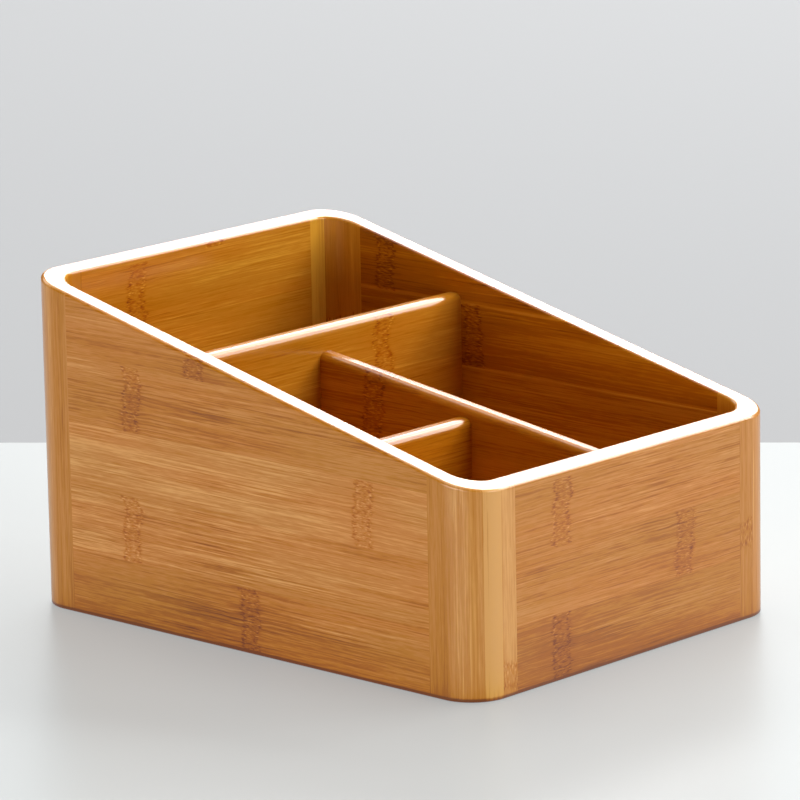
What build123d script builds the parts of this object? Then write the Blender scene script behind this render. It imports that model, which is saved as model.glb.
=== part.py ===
from build123d import *
import os

# Desk organiser for pens and small stationery, glued up from laminated bamboo: four wall boards
# between four corner posts, a base board let in flush underneath, and three dividers that make
# four compartments. One sloping cut takes the rim from the tall rear down to the low front.
#
# Frame: millimetres, +Z up, the low front wall faces -Y, and the origin is the centre of the
# footprint on the underside. Every board is edge-glued from bamboo strips and every post is
# glued from staves, and each strip and stave is a piece of its own.

# Driving dimensions
width = 165.0  # outside, along X
depth = 220.0  # outside, along Y
rear_height = 125.0  # sloping rim at the rear face
front_height = 75.0  # sloping rim at the front face
board = 8.0  # thickness of the walls and dividers
strip = 24.2  # width of one bamboo strip in a board
post_arm = 21.5  # how far a corner post reaches along each outside face
stave = post_arm / 3  # thickness of one bamboo stave in a corner post
corner_radius = 15.0  # outside of a corner post
inner_radius = 10.0  # inside of a corner post
rim_round = 1.2  # eased edges of the rim
foot_round = 0.8  # eased outside edge at the bottom

base_board = 5.0  # thickness of the base
base_strips = 7  # strips in the base, with the middle one on the centre line
base_lip = 4.0  # wall left outside the rebate that the base sits in

tongue = 3.0  # thickness of every tongue, centred in its board
wall_tongue = 5.0  # length of the tongues at the ends of a wall
wall_tongue_stop = 6.0  # the wall tongues end this far below the rim
divider_tongue = 2.5  # length of the tongues at the ends of a divider
divider_tongue_stop = 10.0  # the divider tongues end this far below the divider's top

cross_divider_y = 40.7  # centre of the full-width divider
cross_divider_top = 100.3
long_divider_x = 0.7  # centre of the divider from the front wall to the cross divider
long_divider_front_top = 72.1
long_divider_rear_top = 91.1
short_divider_y = -34.0  # centre of the divider from the left wall to the long divider
short_divider_top = 77.0
divider_round = 3.0  # round-over along the top of a divider

# Places worked out from them
half_width = width / 2
half_depth = depth / 2
inside_x = half_width - board
inside_y = half_depth - board
seam_x = half_width - post_arm  # the front and rear walls meet the posts here
seam_y = half_depth - post_arm  # the side walls meet the posts here
tall = rear_height + board  # taller than anything that the sloping cut leaves
rim_plane = Plane(
    origin=(0, 0, (front_height + rear_height) / 2),
    x_dir=(1, 0, 0),
    z_dir=(0, front_height - rear_height, depth),
)
left, right, front, rear = (-1, 0), (1, 0), (0, -1), (0, 1)

os.makedirs("parts", exist_ok=True)


def seams_between(bottom, top):
    """Heights of the glue lines in a board whose lowest strip starts at bottom."""
    count = int((top - bottom) / strip)
    return [bottom + strip * number for number in range(1, count + 1)]


def export_pieces(blank, name, direction, seams):
    """Parts a glued blank at its glue lines, which cross direction at the distances in seams.

    Each piece is labelled with the name and its number and written to a file of its own.
    """
    ends = [None, *seams, None]
    for number, (low, high) in enumerate(zip(ends, ends[1:]), start=1):
        with BuildPart() as piece:
            add(blank)
            if low is not None:
                split(bisect_by=Plane(origin=direction * low, z_dir=direction), keep=Keep.TOP)
            if high is not None:
                split(bisect_by=Plane(origin=direction * high, z_dir=direction), keep=Keep.BOTTOM)
        piece.part.label = f"{name}_{number}"
        export_step(piece.part, f"parts/{piece.part.label}.step")


def plan_size(side, across, along):
    """Size along X and Y of something that measures across and along the wall on that side."""
    return (across, along) if side in (left, right) else (along, across)


# Base board, let into a rebate all round so that its underside is flush with the walls
with BuildPart() as base:
    with BuildSketch():
        RectangleRounded(
            width - 2 * base_lip, depth - 2 * base_lip, corner_radius - base_lip
        )
    extrude(amount=base_board)

# Walls and posts as one ring, with the sloping rim, its eased edges and the rebate for the base
with BuildPart() as ring:
    with BuildSketch():
        RectangleRounded(width, depth, corner_radius)
        RectangleRounded(2 * inside_x, 2 * inside_y, inner_radius, mode=Mode.SUBTRACT)
    extrude(amount=tall)
    split(bisect_by=rim_plane, keep=Keep.BOTTOM)
    rim = ring.faces().sort_by(Axis.Z)[-1]
    underside = ring.faces().sort_by(Axis.Z)[0]
    fillet(rim.edges(), rim_round)
    fillet(underside.outer_wire().edges(), foot_round)
    add(base.part, mode=Mode.SUBTRACT)


def divider(plane, start, end, start_top, end_top):
    """A divider drawn on plane, whose x runs along the divider and whose y is height.

    The ends are where its faces meet its neighbours; the stopped tongues reach past them.
    """
    with BuildPart() as blank:
        with BuildSketch(plane):
            with BuildLine():
                Polyline(
                    (start, base_board),
                    (end, base_board),
                    (end, end_top),
                    (start, start_top),
                    close=True,
                )
            make_face()
        extrude(amount=board / 2, both=True)
        top = blank.faces().sort_by(Axis.Z)[-1]
        fillet(top.edges().sort_by(SortBy.LENGTH)[-2:], divider_round)
        with BuildSketch(plane):
            with BuildLine():
                Polyline(
                    (start - divider_tongue, base_board),
                    (end + divider_tongue, base_board),
                    (end + divider_tongue, end_top - divider_tongue_stop),
                    (start - divider_tongue, start_top - divider_tongue_stop),
                    close=True,
                )
            make_face()
        extrude(amount=tongue / 2, both=True)
    return blank.part


def plane_across(y):
    """Upright plane at y whose x runs along +X."""
    return Plane(origin=(0, y, 0), x_dir=(1, 0, 0), z_dir=(0, -1, 0))


def plane_along(x):
    """Upright plane at x whose x runs along +Y."""
    return Plane(origin=(x, 0, 0), x_dir=(0, 1, 0), z_dir=(1, 0, 0))


short_divider = divider(
    plane_across(short_divider_y),
    -inside_x,
    long_divider_x - board / 2,
    short_divider_top,
    short_divider_top,
)
long_divider_blank = divider(
    plane_along(long_divider_x),
    -inside_y,
    cross_divider_y - board / 2,
    long_divider_front_top,
    long_divider_rear_top,
)
cross_divider_blank = divider(
    plane_across(cross_divider_y),
    -inside_x,
    inside_x,
    cross_divider_top,
    cross_divider_top,
)

# Each divider that takes another's tongue is grooved for it
with BuildPart() as long_divider:
    add(long_divider_blank)
    add(short_divider, mode=Mode.SUBTRACT)

with BuildPart() as cross_divider:
    add(cross_divider_blank)
    add(long_divider_blank, mode=Mode.SUBTRACT)


def wall_tongues(side, seam):
    """The plate inside a wall whose ends are the wall's tongues, stopped below the rim."""
    side_x, side_y = side
    with BuildPart() as plate:
        with BuildSketch(Plane.XY.offset(base_board)):
            with Locations((side_x * (half_width - board / 2), side_y * (half_depth - board / 2))):
                Rectangle(*plan_size(side, tongue, 2 * (seam + wall_tongue)))
        extrude(amount=tall)
        split(bisect_by=rim_plane.offset(-wall_tongue_stop), keep=Keep.BOTTOM)
    return plate.part


def wall(side, seam):
    """A wall: its stretch of the ring with a tongue at each end and grooves for the dividers."""
    side_x, side_y = side
    with BuildPart() as blank:
        add(ring.part)
        with Locations((side_x * half_width, side_y * half_depth)):
            Box(*plan_size(side, 2 * post_arm, 2 * seam), 2 * tall, mode=Mode.INTERSECT)
        add(wall_tongues(side, seam))
        for divider_part in (cross_divider_blank, long_divider_blank, short_divider):
            add(divider_part, mode=Mode.SUBTRACT)
    return blank.part


def post(side_x, side_y):
    """A corner post: its corner of the ring with a groove for each wall's tongue."""
    with BuildPart() as blank:
        add(ring.part)
        with Locations((side_x * half_width, side_y * half_depth)):
            Box(2 * post_arm, 2 * post_arm, 2 * tall, mode=Mode.INTERSECT)
        add(wall_tongues((side_x, 0), seam_y), mode=Mode.SUBTRACT)
        add(wall_tongues((0, side_y), seam_x), mode=Mode.SUBTRACT)
    return blank.part


def rim_height(y):
    """Height of the sloping rim above the underside, at y."""
    return front_height + (rear_height - front_height) * (y + half_depth) / depth


up = Vector(0, 0, 1)
rightward = Vector(1, 0, 0)

base_seams = [strip * (number - (base_strips - 2) / 2) for number in range(base_strips - 1)]
export_pieces(base.part, "base_strip", rightward, base_seams)

side_seams = seams_between(0, rim_height(seam_y))
export_pieces(wall(left, seam_y), "left_wall_strip", up, side_seams)
export_pieces(wall(right, seam_y), "right_wall_strip", up, side_seams)
export_pieces(wall(front, seam_x), "front_wall_strip", up, seams_between(0, rim_height(-inside_y)))
export_pieces(wall(rear, seam_x), "rear_wall_strip", up, seams_between(0, rear_height))

# The staves of a post stand side by side along the front or rear wall, numbered towards +X
for side_x, x_name in ((-1, "left"), (1, "right")):
    stave_seams = sorted(side_x * (seam_x + stave * number) for number in (1, 2))
    for side_y, y_name in ((-1, "front"), (1, "rear")):
        export_pieces(post(side_x, side_y), f"{y_name}_{x_name}_post_stave", rightward, stave_seams)

export_pieces(
    cross_divider.part, "cross_divider_strip", up, seams_between(base_board, cross_divider_top)
)
export_pieces(
    long_divider.part, "long_divider_strip", up, seams_between(base_board, long_divider_rear_top)
)
export_pieces(
    short_divider, "short_divider_strip", up, seams_between(base_board, short_divider_top)
)
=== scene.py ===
import math
import random

import bpy
from mathutils import Matrix, Vector


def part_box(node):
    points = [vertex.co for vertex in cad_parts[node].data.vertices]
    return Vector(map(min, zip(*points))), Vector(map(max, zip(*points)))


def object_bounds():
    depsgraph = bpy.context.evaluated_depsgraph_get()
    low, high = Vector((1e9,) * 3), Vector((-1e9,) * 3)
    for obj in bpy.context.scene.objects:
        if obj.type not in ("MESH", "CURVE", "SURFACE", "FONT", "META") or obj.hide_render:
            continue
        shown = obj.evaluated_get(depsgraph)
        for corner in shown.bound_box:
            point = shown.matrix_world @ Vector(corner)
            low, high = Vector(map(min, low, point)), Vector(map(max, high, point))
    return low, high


# The looks of a desk organiser in laminated bamboo. Every strip and stave is a CAD node that
# keeps its mesh and gets a bamboo of its own. Lengths are in metres unless a comment says
# millimetres, and colours are linear.

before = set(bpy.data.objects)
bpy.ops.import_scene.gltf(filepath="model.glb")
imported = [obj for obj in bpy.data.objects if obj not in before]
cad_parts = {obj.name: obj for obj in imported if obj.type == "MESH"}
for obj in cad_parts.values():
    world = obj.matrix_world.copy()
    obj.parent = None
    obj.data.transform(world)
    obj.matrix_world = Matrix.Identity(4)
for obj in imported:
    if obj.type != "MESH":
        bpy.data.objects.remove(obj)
cad_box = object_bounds()
low, high = (Vector(corner) for corner in cad_box)
foot = Vector(((low.x + high.x) / 2, (low.y + high.y) / 2, low.z))
MM = 0.001

# ---------------------------------------------------------------- camera

CAMERA_AZIMUTH = math.radians(-47.098)  # 0 looks along +Y, negative stands to the left
CAMERA_ELEVATION = math.radians(13.093)
CAMERA_ROLL = math.radians(-1.046)
CAMERA_DISTANCE = 1.9767  # from the centre of the footprint, along the line of sight
CAMERA_AIM = (-0.0013, 0.0758)  # right of and above the centre of the footprint
LENS_MM = 241.45
SENSOR_MM = 36.0


def make_camera():
    """Makes the photograph's viewpoint and returns the direction from the object back to it."""
    az, el, roll = CAMERA_AZIMUTH, CAMERA_ELEVATION, CAMERA_ROLL
    back = Vector((math.sin(az) * math.cos(el), -math.cos(az) * math.cos(el), math.sin(el)))
    level_right = Vector((math.cos(az), math.sin(az), 0.0))
    level_up = back.cross(level_right)
    right = level_right * math.cos(roll) + level_up * math.sin(roll)
    up = level_up * math.cos(roll) - level_right * math.sin(roll)
    place = foot + right * CAMERA_AIM[0] + up * CAMERA_AIM[1] + back * CAMERA_DISTANCE
    data = bpy.data.cameras.new("camera")
    data.sensor_width = SENSOR_MM
    data.lens = LENS_MM
    camera = bpy.data.objects.new("camera", data)
    axes = Matrix((right, up, back)).transposed()
    camera.matrix_world = Matrix.Translation(place) @ axes.to_4x4()
    bpy.context.scene.collection.objects.link(camera)
    bpy.context.scene.camera = camera
    return back


# ---------------------------------------------------------------- node trees


class Graph:
    """Short calls that add linked nodes to a node tree; a value is a number or a socket."""

    def __init__(self, tree):
        self.tree = tree

    def feed(self, socket, value):
        if isinstance(value, bpy.types.NodeSocket):
            self.tree.links.new(value, socket)
        else:
            socket.default_value = value

    def add(self, kind, *values, **settings):
        """A node whose first inputs are values; settings are its properties."""
        node = self.tree.nodes.new(kind)
        for name, value in settings.items():
            setattr(node, name, value)
        for socket, value in zip(node.inputs, values):
            self.feed(socket, value)
        return node

    def math(self, operation, *values):
        return self.add("ShaderNodeMath", *values, operation=operation).outputs[0]

    def total(self, first, *others):
        for value in others:
            first = self.math("ADD", first, value)
        return first

    def times(self, first, *others):
        for value in others:
            first = self.math("MULTIPLY", first, value)
        return first

    def decay(self, distance, reach):
        """1 at distance 0, falling exponentially to about a third at reach."""
        return self.math("EXPONENT", self.times(distance, -1 / reach))

    def fade(self, value, start, end):
        """0 at start and 1 at end, smoothly; start may be the larger."""
        node = self.add("ShaderNodeMapRange", value, start, end, interpolation_type="SMOOTHSTEP")
        return node.outputs[0]

    def vector(self, x, y, z):
        return self.add("ShaderNodeCombineXYZ", x, y, z).outputs[0]

    def noise(self, place, roughness):
        """Two octaves of noise about one unit across, centred on 0."""
        node = self.add("ShaderNodeTexNoise", noise_dimensions="3D")
        self.feed(node.inputs["Vector"], place)
        node.inputs["Scale"].default_value = 1.0
        node.inputs["Detail"].default_value = 1.0
        node.inputs["Roughness"].default_value = roughness
        return self.math("SUBTRACT", node.outputs[0], 0.5)

    def mix(self, factor, first, second, blend="MIX"):
        """Colour second laid over colour first, as far as factor says."""
        node = self.add("ShaderNodeMix", data_type="RGBA", blend_type=blend)
        for name, value in (("Factor_Float", factor), ("A_Color", first), ("B_Color", second)):
            self.feed(next(s for s in node.inputs if s.identifier == name), value)
        return next(s for s in node.outputs if s.identifier == "Result_Color")

    def ramp(self, value, stops):
        """A smooth colour ramp through stops, each (position, colour)."""
        node = self.add("ShaderNodeValToRGB", value)
        ramp = node.color_ramp
        ramp.interpolation = "EASE"
        while len(ramp.elements) < len(stops):
            ramp.elements.new(0.5)
        for element, (position, colour) in zip(ramp.elements, stops):
            element.position = position
            element.color = (*colour, 1.0)
        return node.outputs[0]


# ---------------------------------------------------------------- bamboo

# The ramp from dark to pale bamboo, and the place on it of a strip's own colour
BAMBOO_TONES = (
    (0.00, (0.190, 0.043, 0.000)),
    (0.35, (0.385, 0.112, 0.001)),
    (0.55, (0.505, 0.180, 0.010)),
    (0.65, (0.550, 0.208, 0.034)),
    (1.00, (0.720, 0.350, 0.100)),
)
MEAN_LEVEL = 0.65

# Colours that the ramp's are multiplied by
WHITE = (1.0, 1.0, 1.0, 1.0)
GOLDEN = (0.99, 1.02, 1.00, 1.0)
PINK = (1.03, 0.97, 0.90, 1.0)
PAINTED_SHADE_AMBER = (1.0, 0.97, 0.30, 1.0)  # painted warm shade: the bounce light inside the box and the shade just above the table
RUST = (1.12, 1.0, 0.30, 1.0)  # dark flecks

# Lengths in millimetres
SEED_STEP = 37.0  # along the grain, between the patterns of two strips
HALO_REACH = 14.0  # how far the shade and the swerving fibres beside a knuckle reach
RAIL = 3.9  # from the middle of a knuckle to each of its two rails
RAIL_SPREAD = 1.5  # of the rails, in square millimetres
BAND_EDGE = 1.3  # beyond the rails, where the knuckle ends
GLUE_CORE = 0.08  # the part of a glue line, from its middle, that has its full colour
GLUE_WIDTH = 0.30  # from the middle of a dark glue line to where it ends
GLUE_WIDENING = 2.5  # how much wider it is for each unit that it is paler than the wood
PAINTED_CONTACT_SHADE_HEIGHTS = (1.8, 0.8)  # a painted contact shadow, a dark line along the table, comes in between these heights
PAINTED_FOOT_SHADE_REACH = 6.0  # how far the painted shade, darker and warmer, above the table reaches
PAINTED_BOUNCE_DEPTHS = (2.5, 6.0)  # the painted amber of the inside's bounce light comes in between these depths in the walls
BUMP_DEPTH = 0.05

BUMP_STRENGTH = 0.25
LACQUER = {
    "Specular IOR Level": 0.10,
    "Coat Weight": 0.85,
    "Coat Roughness": 0.14,
    "Coat IOR": 1.5,
}


def make_bamboo_group():
    """The look of a bamboo strip, from a place in millimetres whose x runs along the grain.

    Knuckle is the place along the grain of the joint in the cane. Tone lightens or darkens
    the strip, Gold makes it yellower and Seed gives it a pattern of its own. Edge is the
    distance from the nearest glue line. Glue above 0 makes that line paler than the wood, and
    wider, and below 0 darker. Rise is the height above the table, where painted shade makes
    the wood darker and warmer. Inside is 1 within the box, where a painted amber stands in for
    its warm bounce light, and 0 outside it.
    """
    tree = bpy.data.node_groups.new("bamboo", "ShaderNodeTree")
    inputs = {
        "Place": "NodeSocketVector",
        "Knuckle": "NodeSocketFloat",
        "Tone": "NodeSocketFloat",
        "Gold": "NodeSocketFloat",
        "Seed": "NodeSocketFloat",
        "Glue": "NodeSocketFloat",
        "Edge": "NodeSocketFloat",
        "Rise": "NodeSocketFloat",
        "Inside": "NodeSocketFloat",
    }
    outputs = {
        "Color": "NodeSocketColor",
        "Roughness": "NodeSocketFloat",
        "Height": "NodeSocketFloat",
    }
    for in_out, sockets in (("INPUT", inputs), ("OUTPUT", outputs)):
        for name, kind in sockets.items():
            tree.interface.new_socket(name, in_out=in_out, socket_type=kind)
    g = Graph(tree)
    source = g.add("NodeGroupInput")
    place, knuckle, tone, gold, seed, glue, edge, rise, inside = source.outputs[: len(inputs)]
    along, across, deep = g.add("ShaderNodeSeparateXYZ", place).outputs
    shift = g.times(seed, SEED_STEP)

    def grain(fine_along, fine_across, place_across, roughness=0.5):
        """Noise drawn out along the grain: features per millimetre along and across it."""
        return g.noise(
            g.vector(
                g.total(g.times(along, fine_along), shift),
                g.times(place_across, fine_across),
                g.times(deep, fine_across),
            ),
            roughness,
        )

    # Distance from the middle of the knuckle, which wanders by millimetres from fibre to fibre
    wander = g.total(
        g.times(grain(0.02, 0.13, across), 9.0),
        g.times(grain(0.06, 0.90, across), 4.0),
    )
    from_knuckle = g.total(g.math("SUBTRACT", along, knuckle), wander)
    distance = g.math("ABSOLUTE", from_knuckle)
    halo = g.decay(distance, HALO_REACH)

    # The fibres run almost straight, and swerve a little beside the knuckle
    sway = g.times(grain(0.005, 0.03, across), 1.5)
    swerve = g.times(grain(0.09, 0.16, across), halo, 2.2)
    bent = g.total(across, sway, swerve)

    # Fibres of several widths, stronger in some bands, and among them thin dark dashes
    crowding = g.fade(grain(0.007, 0.11, bent), -0.12, 0.12)
    strength = g.total(0.75, g.times(crowding, 0.50))
    fibres = g.times(grain(0.012, 0.60, bent, 0.8), strength)
    threads = g.times(grain(0.035, 1.50, bent, 0.6), strength)
    broken = g.times(grain(0.050, 1.50, bent, 0.8), strength)
    specks = grain(0.20, 1.90, bent)
    dashes = g.times(
        g.fade(grain(0.026, 1.60, bent), 0.07, 0.12),
        g.total(0.45, g.times(crowding, 0.40)),
    )
    streaks = grain(0.007, 0.16, bent)
    patches = grain(0.007, 0.04, bent)

    # The knuckle: two uneven rails with dark flecks and pale specks between and beside them
    band = g.fade(distance, RAIL + BAND_EDGE, RAIL)
    off_rail = g.math("POWER", g.math("SUBTRACT", distance, RAIL), 2.0)
    rail = g.decay(off_rail, RAIL_SPREAD)
    broken_rail = g.times(rail, g.fade(grain(0.30, 0.80, across), -0.16, 0.16))
    flecks = grain(0.40, 1.60, across, 0.7)
    by_rail = g.total(g.times(band, 0.60), g.times(rail, 0.45))
    dark_flecks = g.times(g.fade(flecks, 0.00, 0.14), by_rail)
    pale_flecks = g.times(g.fade(flecks, -0.06, -0.18), by_rail)

    # Glue lines, and the painted shade just above the table
    glue_width = g.total(GLUE_WIDTH, g.times(g.math("MAXIMUM", glue, 0.0), GLUE_WIDENING))
    glue_line = g.fade(edge, glue_width, GLUE_CORE)
    painted_contact_shade = g.fade(rise, *PAINTED_CONTACT_SHADE_HEIGHTS)
    painted_foot_shade = g.decay(rise, PAINTED_FOOT_SHADE_REACH)

    # All of it added up to a place on the ramp
    fibre_level = g.total(
        g.times(fibres, 0.36),
        g.times(threads, 0.45),
        g.times(broken, 0.42),
        g.times(specks, 0.30),
        g.times(dashes, -0.22),
    )
    calm = g.total(
        1.0,
        g.times(gold, -0.35),
        g.times(band, -0.40),
        g.times(inside, -0.30),
    )
    level = g.total(
        MEAN_LEVEL,
        tone,
        g.times(fibre_level, calm),
        g.times(streaks, 0.34),
        g.times(patches, 0.42),
        g.times(halo, -0.08),
        g.times(band, -0.05),
        g.times(broken_rail, -0.12),
        g.times(dark_flecks, -0.34),
        g.times(pale_flecks, 0.36),
        g.times(glue_line, glue),
        # painted shade: the contact line and the darker zone just above the table
        g.times(painted_contact_shade, -0.75),
        g.times(painted_foot_shade, -0.26),
    )

    # Beside the knuckle and in patches the wood is pinker, elsewhere more golden
    pinkness = g.total(grain(0.010, 0.06, across), g.times(halo, 0.10), g.times(gold, -0.35))
    # painted shade: amber inside the box for its warm bounce light, and just above the table
    painted_amber_shade = g.math("MAXIMUM", inside, g.times(painted_foot_shade, 0.8))
    colour = g.ramp(level, BAMBOO_TONES)
    for tint in (
        g.mix(g.fade(pinkness, -0.16, 0.26), GOLDEN, PINK),
        g.mix(painted_amber_shade, WHITE, PAINTED_SHADE_AMBER),
        g.mix(dark_flecks, WHITE, RUST),
    ):
        colour = g.mix(1.0, colour, tint, "MULTIPLY")

    roughness = g.total(0.40, g.times(dashes, 0.10), g.times(band, 0.05))
    height = g.total(
        g.times(dashes, -0.5),
        g.times(threads, 0.8),
        g.times(dark_flecks, -0.8),
        g.times(glue_line, -0.6),
    )
    result = g.add("NodeGroupOutput")
    for socket, value in zip(result.inputs, (colour, roughness, height)):
        g.feed(socket, value)
    return tree


def grain_axis_of(name):
    """Posts have upright grain; every board's grain runs along the board."""
    if "post" in name:
        return 2
    if name.startswith(("left_wall", "right_wall", "long_divider", "base")):
        return 1
    return 0


def glue_axis_of(name):
    """Staves and base strips lie side by side along X; the strips of a board are stacked."""
    return 0 if "post" in name or "base" in name else 2


def bamboo_material(name, group, look):
    """Lacquered bamboo for the piece of that name; look sets the other inputs of the group."""
    material = bpy.data.materials.new(name)
    material.use_nodes = True
    tree = material.node_tree
    tree.nodes.clear()
    g = Graph(tree)
    coordinates = g.add("ShaderNodeTexCoord")
    split = g.add("ShaderNodeSeparateXYZ", coordinates.outputs["Object"])
    in_mm = [g.times(output, 1 / MM) for output in split.outputs]

    grain_axis = grain_axis_of(name)
    grain_first = (grain_axis, *(axis for axis in (2, 1, 0) if axis != grain_axis))
    glue_axis = glue_axis_of(name)
    near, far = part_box(name)
    from_near = g.math("SUBTRACT", in_mm[glue_axis], near[glue_axis] / MM)
    from_far = g.math("SUBTRACT", far[glue_axis] / MM, in_mm[glue_axis])
    inside = []
    for axis in (0, 1):
        half = (high[axis] - low[axis]) / 2 / MM
        from_middle = g.math("ABSOLUTE", in_mm[axis])
        inside.append(g.fade(from_middle, *(half - depth for depth in PAINTED_BOUNCE_DEPTHS)))

    bamboo = tree.nodes.new("ShaderNodeGroup")
    bamboo.node_tree = group
    g.feed(bamboo.inputs["Place"], g.vector(*(in_mm[axis] for axis in grain_first)))
    g.feed(bamboo.inputs["Edge"], g.math("MINIMUM", from_near, from_far))
    g.feed(bamboo.inputs["Rise"], in_mm[2])
    g.feed(bamboo.inputs["Inside"], g.times(*inside))
    for input_name, value in look.items():
        bamboo.inputs[input_name].default_value = value

    bump = g.add("ShaderNodeBump")
    bump.inputs["Strength"].default_value = BUMP_STRENGTH
    bump.inputs["Distance"].default_value = BUMP_DEPTH * MM
    g.feed(bump.inputs["Height"], bamboo.outputs["Height"])
    shader = g.add("ShaderNodeBsdfPrincipled")
    g.feed(shader.inputs["Base Color"], bamboo.outputs["Color"])
    g.feed(shader.inputs["Roughness"], bamboo.outputs["Roughness"])
    g.feed(shader.inputs["Normal"], bump.outputs[0])
    for input_name, value in LACQUER.items():
        shader.inputs[input_name].default_value = value
    output = g.add("ShaderNodeOutputMaterial")
    g.feed(output.inputs["Surface"], shader.outputs[0])
    return material


# Where the knuckle of a strip is, in millimetres along its grain; the others fall by chance
PAST_END = -150  # so that none shows
PAST_TOP = 180  # so that none shows on a post
KNUCKLES = {
    "left_wall_strip_1": -2,
    "left_wall_strip_2": 57,
    "left_wall_strip_3": -58,
    "left_wall_strip_4": 56,
    "left_wall_strip_5": 24,
    "front_wall_strip_1": -38,
    "front_wall_strip_2": 30,
    "front_wall_strip_3": -37,
    "right_wall_strip_3": PAST_END,
    "right_wall_strip_4": 31,
    "right_wall_strip_5": 76,
    "rear_wall_strip_5": -33,
    "front_right_post_stave_1": 32,
    "rear_left_post_stave_1": PAST_TOP,
    "rear_left_post_stave_2": PAST_TOP,
    "cross_divider_strip_3": PAST_END,
    "cross_divider_strip_4": 31,
    "long_divider_strip_3": 11,
    "long_divider_strip_4": 11,
    "short_divider_strip_3": PAST_END,
}
CHANCE_MARGIN = 50.0  # how far past a strip's ends a knuckle may fall by chance
CHANCE_SEED = 24

# How much lighter or darker than the mean a piece is, in places painted light and shade as
# marked; the others' tones fall by chance
TONES_AND_PAINTED_LIGHT = {
    # left wall: painted shade at the foot, painted bounce light from the table just above it,
    # darker towards the top
    "left_wall_strip_1": -0.07,
    "left_wall_strip_2": 0.03,
    "left_wall_strip_3": 0.12,
    "left_wall_strip_4": -0.05,
    "left_wall_strip_5": -0.12,
    "front_wall_strip_1": -0.02,
    "front_wall_strip_2": -0.04,
    "front_wall_strip_3": -0.06,
    # painted shade on the inside face of the right wall, darker towards the top
    "right_wall_strip_3": -0.14,
    "right_wall_strip_4": -0.26,
    "right_wall_strip_5": -0.34,
    "front_left_post_stave_1": 0.14,
    "front_left_post_stave_2": 0.45,
    "front_left_post_stave_3": 0.25,
    "front_right_post_stave_1": 0.04,
    "front_right_post_stave_2": 0.06,
    "front_right_post_stave_3": 0.0,
    "rear_left_post_stave_1": 0.11,
    "rear_left_post_stave_2": 0.11,
    "rear_right_post_stave_1": 0.26,
    "rear_right_post_stave_2": 0.04,
    # painted shade on the dividers' faces deep inside the box
    "long_divider_strip_3": -0.14,
    "long_divider_strip_4": -0.10,
    "short_divider_strip_2": -0.10,
    "short_divider_strip_3": -0.14,
}
CHANCE_TONE = 0.04  # the most that a tone by chance differs from the mean

# How yellow a piece is and how pale its glue lines are, from the first row whose words are in
# its name
LOOKS = (
    ("rear_right_post", {"Gold": 0.3, "Glue": -0.16}),
    ("post", {"Gold": 1.0, "Glue": -0.16}),
    ("right_wall", {"Gold": 0.0, "Glue": 0.34}),
    ("left_wall_strip_1", {"Gold": -0.3, "Glue": -0.05}),
    ("left_wall_strip_2", {"Gold": -0.3, "Glue": -0.05}),
    ("", {"Gold": 0.0, "Glue": -0.05}),
)


def dress_nodes():
    """Gives every strip and stave a bamboo of its own."""
    group = make_bamboo_group()
    chance = random.Random(CHANCE_SEED)
    for seed, name in enumerate(sorted(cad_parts), start=1):
        axis = grain_axis_of(name)
        near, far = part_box(name)
        start, end = near[axis] / MM - CHANCE_MARGIN, far[axis] / MM + CHANCE_MARGIN
        any_knuckle = chance.uniform(start, end)
        any_tone = chance.uniform(-CHANCE_TONE, CHANCE_TONE)
        look = {
            "Knuckle": KNUCKLES.get(name, any_knuckle),
            "Tone": TONES_AND_PAINTED_LIGHT.get(name, any_tone),
            "Seed": seed,
            **next(look for words, look in LOOKS if words in name),
        }
        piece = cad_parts[name]
        piece.data.materials.clear()
        piece.data.materials.append(bamboo_material(name, group, look))


# ---------------------------------------------------------------- floor and light

TABLE_EDGE = 0.2566  # how far behind the centre of the footprint the table top ends
EDGE_SLANT = 0.077  # leans the edge against the camera's roll, so that it looks level
FLOOR_REACH = 8.0

# Colour, roughness, specular level and glow; the glow keeps shadows on the table weak
TABLE_FINISH = ((0.205, 0.216, 0.214), 0.35, 0.13, 0.335)
BACKDROP_FINISH = ((0.36, 0.364, 0.37), 0.90, 0.0, 0.0)
GLOW_COLOUR = (0.97, 1.0, 1.0, 1.0)

ROOM_COLOUR = (0.95, 0.97, 1.0, 1.0)
ROOM_STRENGTH = 0.02
AIM_HEIGHT = 0.05  # the softboxes face this far above the table

# Each softbox's name, azimuth from +X towards +Y and elevation in degrees, distance, width and
# height, and radiance
SOFTBOXES = (
    ("softbox_above", 60, 80, 3.5, (2.8, 2.8), 2.4),
    ("softbox_above_left", 190, 72, 3.5, (2.4, 1.6), 1.4),
    ("softbox_back_right", 50, 52, 4.0, (2.9, 1.8), 1.7),
    ("softbox_rear", 90, 40, 4.0, (2.3, 1.5), 2.6),
    ("panel_behind", 43, 11, 4.5, (2.4, 0.8), 3.0),
    ("bank_behind", 36, 30, 4.0, (1.5, 0.8), 10.5),
    ("bank_right", 10, 43, 4.0, (2.7, 0.8), 9.5),
    ("bank_front_right", -18, 40, 4.0, (1.6, 0.9), 10.0),
    ("bank_front", -38, 25, 4.0, (1.5, 1.3), 8.5),
    ("softbox_front", -72, 25, 4.0, (2.0, 1.5), 6.9),
    ("card_left", 185, 1.5, 1.3, (1.7, 0.16), 11.0),
)


def plain_material(name, colour, roughness, specular, glow):
    """The same finish all over, with a little light of its own where glow is above 0."""
    material = bpy.data.materials.new(name)
    material.use_nodes = True
    shader = material.node_tree.nodes["Principled BSDF"]
    shader.inputs["Base Color"].default_value = (*colour, 1.0)
    shader.inputs["Roughness"].default_value = roughness
    shader.inputs["Specular IOR Level"].default_value = specular
    shader.inputs["Emission Color"].default_value = GLOW_COLOUR
    shader.inputs["Emission Strength"].default_value = glow
    return material


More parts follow.
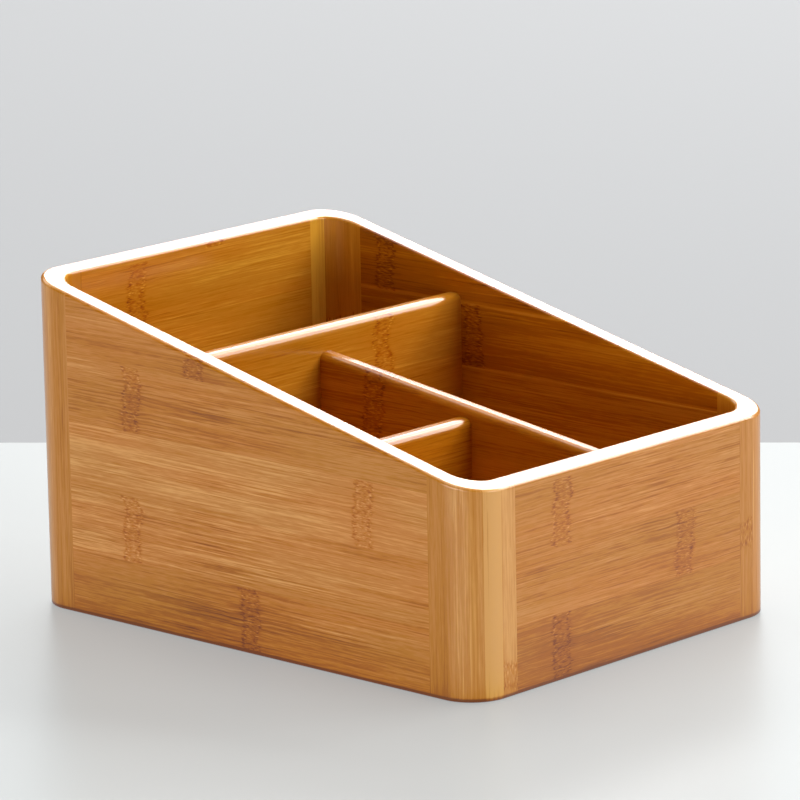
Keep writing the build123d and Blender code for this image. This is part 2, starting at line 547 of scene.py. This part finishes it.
def make_floor(back):
    """A white table top, and beyond its far edge a greyer surface at the same height."""
    away = Vector((-back.x, -back.y, 0.0)).normalized()
    side = Vector((away.y, -away.x, 0.0))
    for name, near, far, finish in (
        ("table_top", -FLOOR_REACH, TABLE_EDGE, TABLE_FINISH),
        ("backdrop", TABLE_EDGE, FLOOR_REACH, BACKDROP_FINISH),
    ):
        corners = [
            foot + away * (ahead - EDGE_SLANT * aside) + side * aside
            for ahead, aside in (
                (near, -FLOOR_REACH),
                (near, FLOOR_REACH),
                (far, FLOOR_REACH),
                (far, -FLOOR_REACH),
            )
        ]
        mesh = bpy.data.meshes.new(name)
        mesh.from_pydata([tuple(corner) for corner in corners], [], [(0, 1, 2, 3)])
        mesh.materials.append(plain_material(name, *finish))
        piece = bpy.data.objects.new(name, mesh)
        bpy.context.scene.collection.objects.link(piece)


def add_softbox(name, azimuth, elevation, distance, size, radiance):
    """A rectangular softbox that faces the object and doesn't show to the camera."""
    data = bpy.data.lights.new(name, "AREA")
    data.shape = "RECTANGLE"
    data.size, data.size_y = size
    data.energy = radiance * math.pi * size[0] * size[1]
    lamp = bpy.data.objects.new(name, data)
    turn, lift = math.radians(azimuth), math.radians(elevation)
    outward = Vector(
        (math.cos(turn) * math.cos(lift), math.sin(turn) * math.cos(lift), math.sin(lift))
    )
    place = foot + Vector((0, 0, AIM_HEIGHT)) + outward * distance
    facing = (-outward).to_track_quat("-Z", "Y")
    lamp.matrix_world = Matrix.Translation(place) @ facing.to_matrix().to_4x4()
    lamp.visible_camera = False
    bpy.context.scene.collection.objects.link(lamp)


def make_light():
    """A dim room with softboxes all round. The banks mirror in the rim and the dividers' tops."""
    world = bpy.data.worlds.new("room")
    world.use_nodes = True
    shade = world.node_tree.nodes["Background"]
    shade.inputs["Color"].default_value = ROOM_COLOUR
    shade.inputs["Strength"].default_value = ROOM_STRENGTH
    bpy.context.scene.world = world
    for softbox in SOFTBOXES:
        add_softbox(*softbox)


view_back = make_camera()
dress_nodes()
make_floor(view_back)
make_light()
bpy.context.scene.view_settings.view_transform = "Standard"
